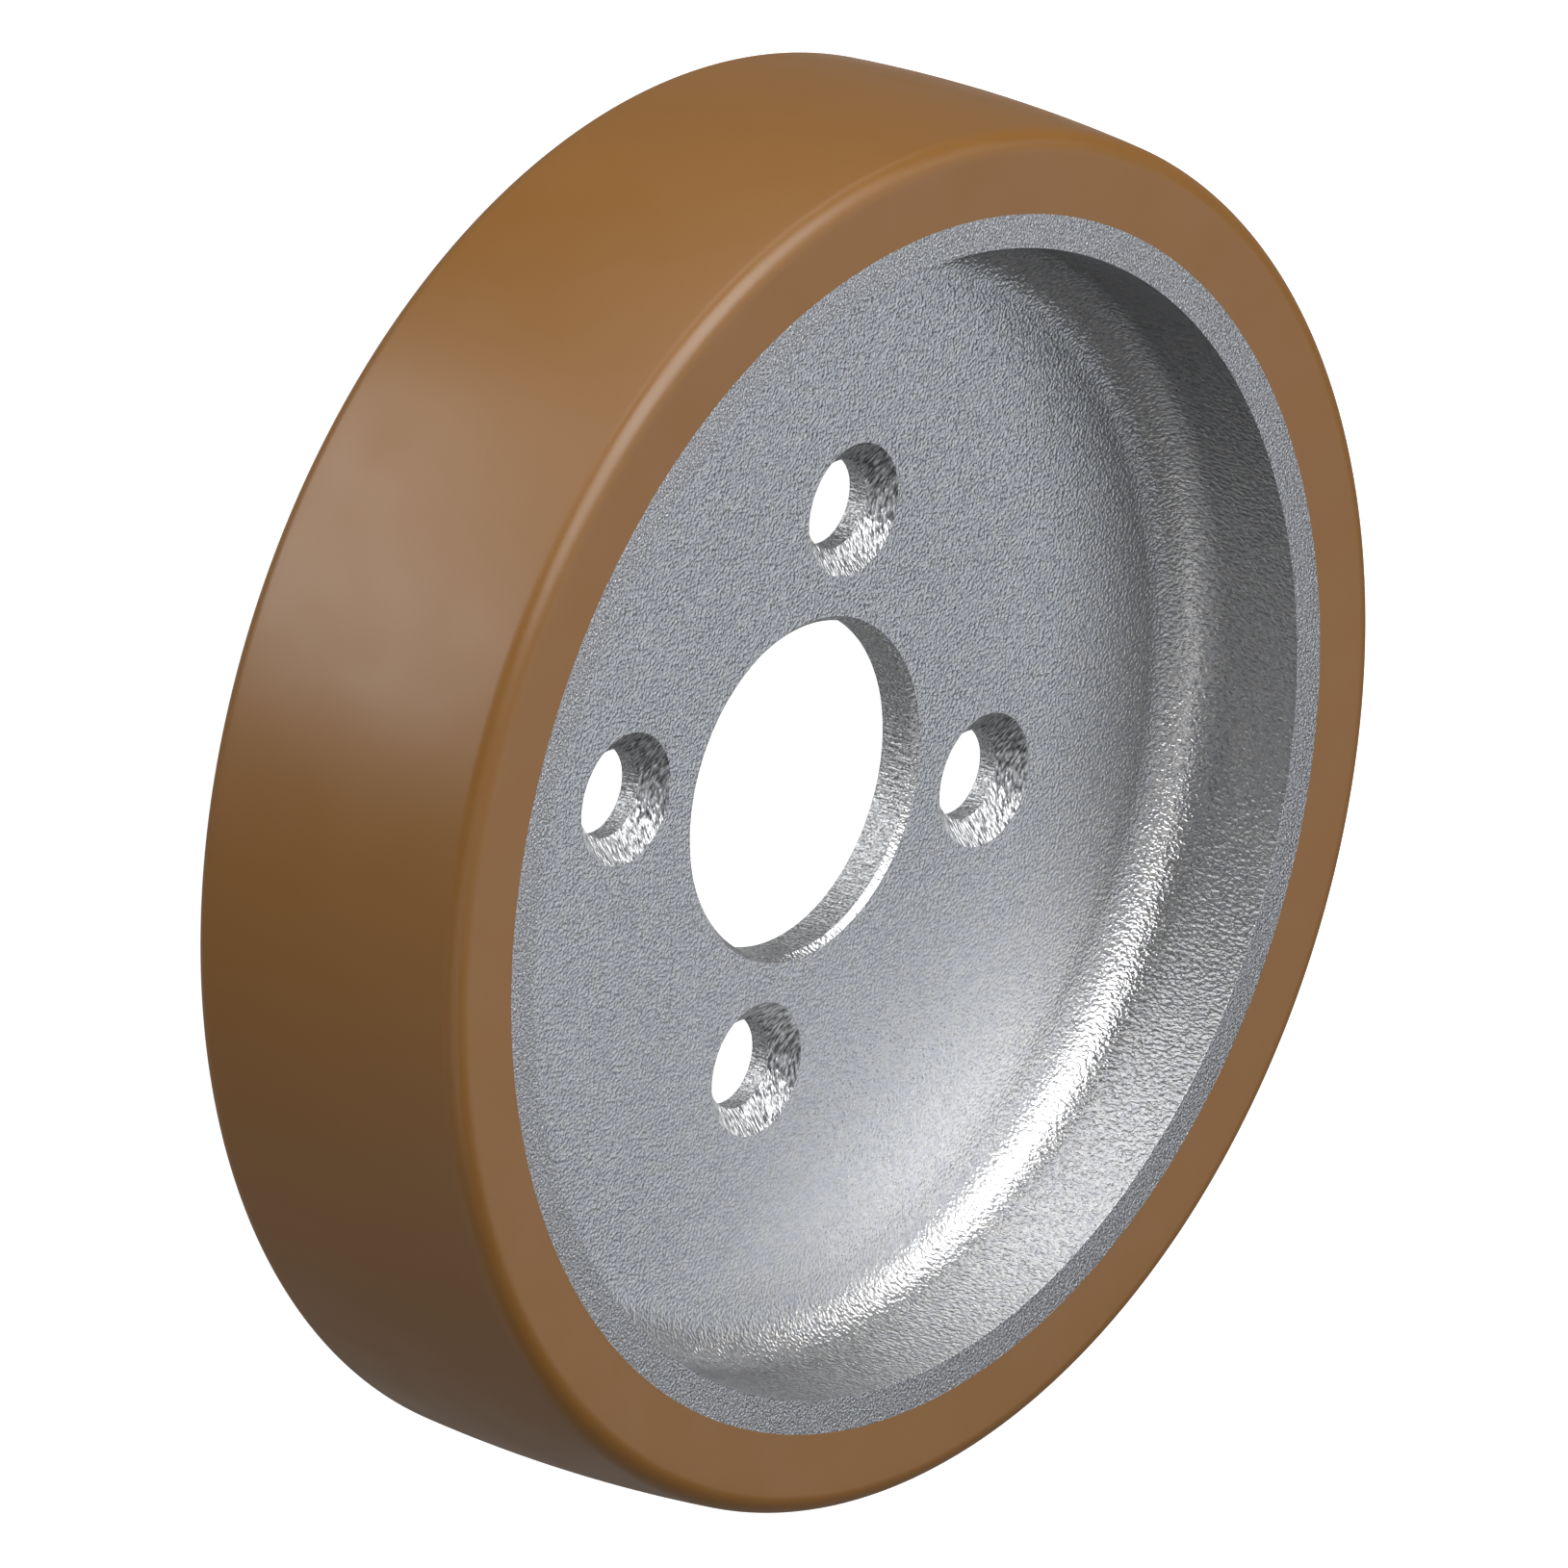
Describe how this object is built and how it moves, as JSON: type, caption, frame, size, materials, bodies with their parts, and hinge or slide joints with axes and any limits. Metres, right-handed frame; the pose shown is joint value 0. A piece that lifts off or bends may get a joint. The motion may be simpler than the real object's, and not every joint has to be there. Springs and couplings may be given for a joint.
{
  "type": "heavy-duty wheel",
  "caption": "Solid bolt-on drive wheel: a dished cast centre with a plain bore and a ring of countersunk holes, and a brown polyurethane tread with a crowned face.",
  "frame": {"origin": "centre of the wheel: on its axis, midway between its two ends", "axes": "+Z along the wheel's axis, out of the dished side with the countersinks; +X and +Y each pass through the middle of a bolt hole; the wheel lies flat on its plain end"},
  "size_m": [0.25, 0.25, 0.06],
  "materials": {
    "cast_iron": "satin",
    "polyurethane": "satin"
  },
  "bodies": {
    "root": {"wheel_centre": "cast_iron", "tread": "polyurethane"}
  },
  "joints": []
}
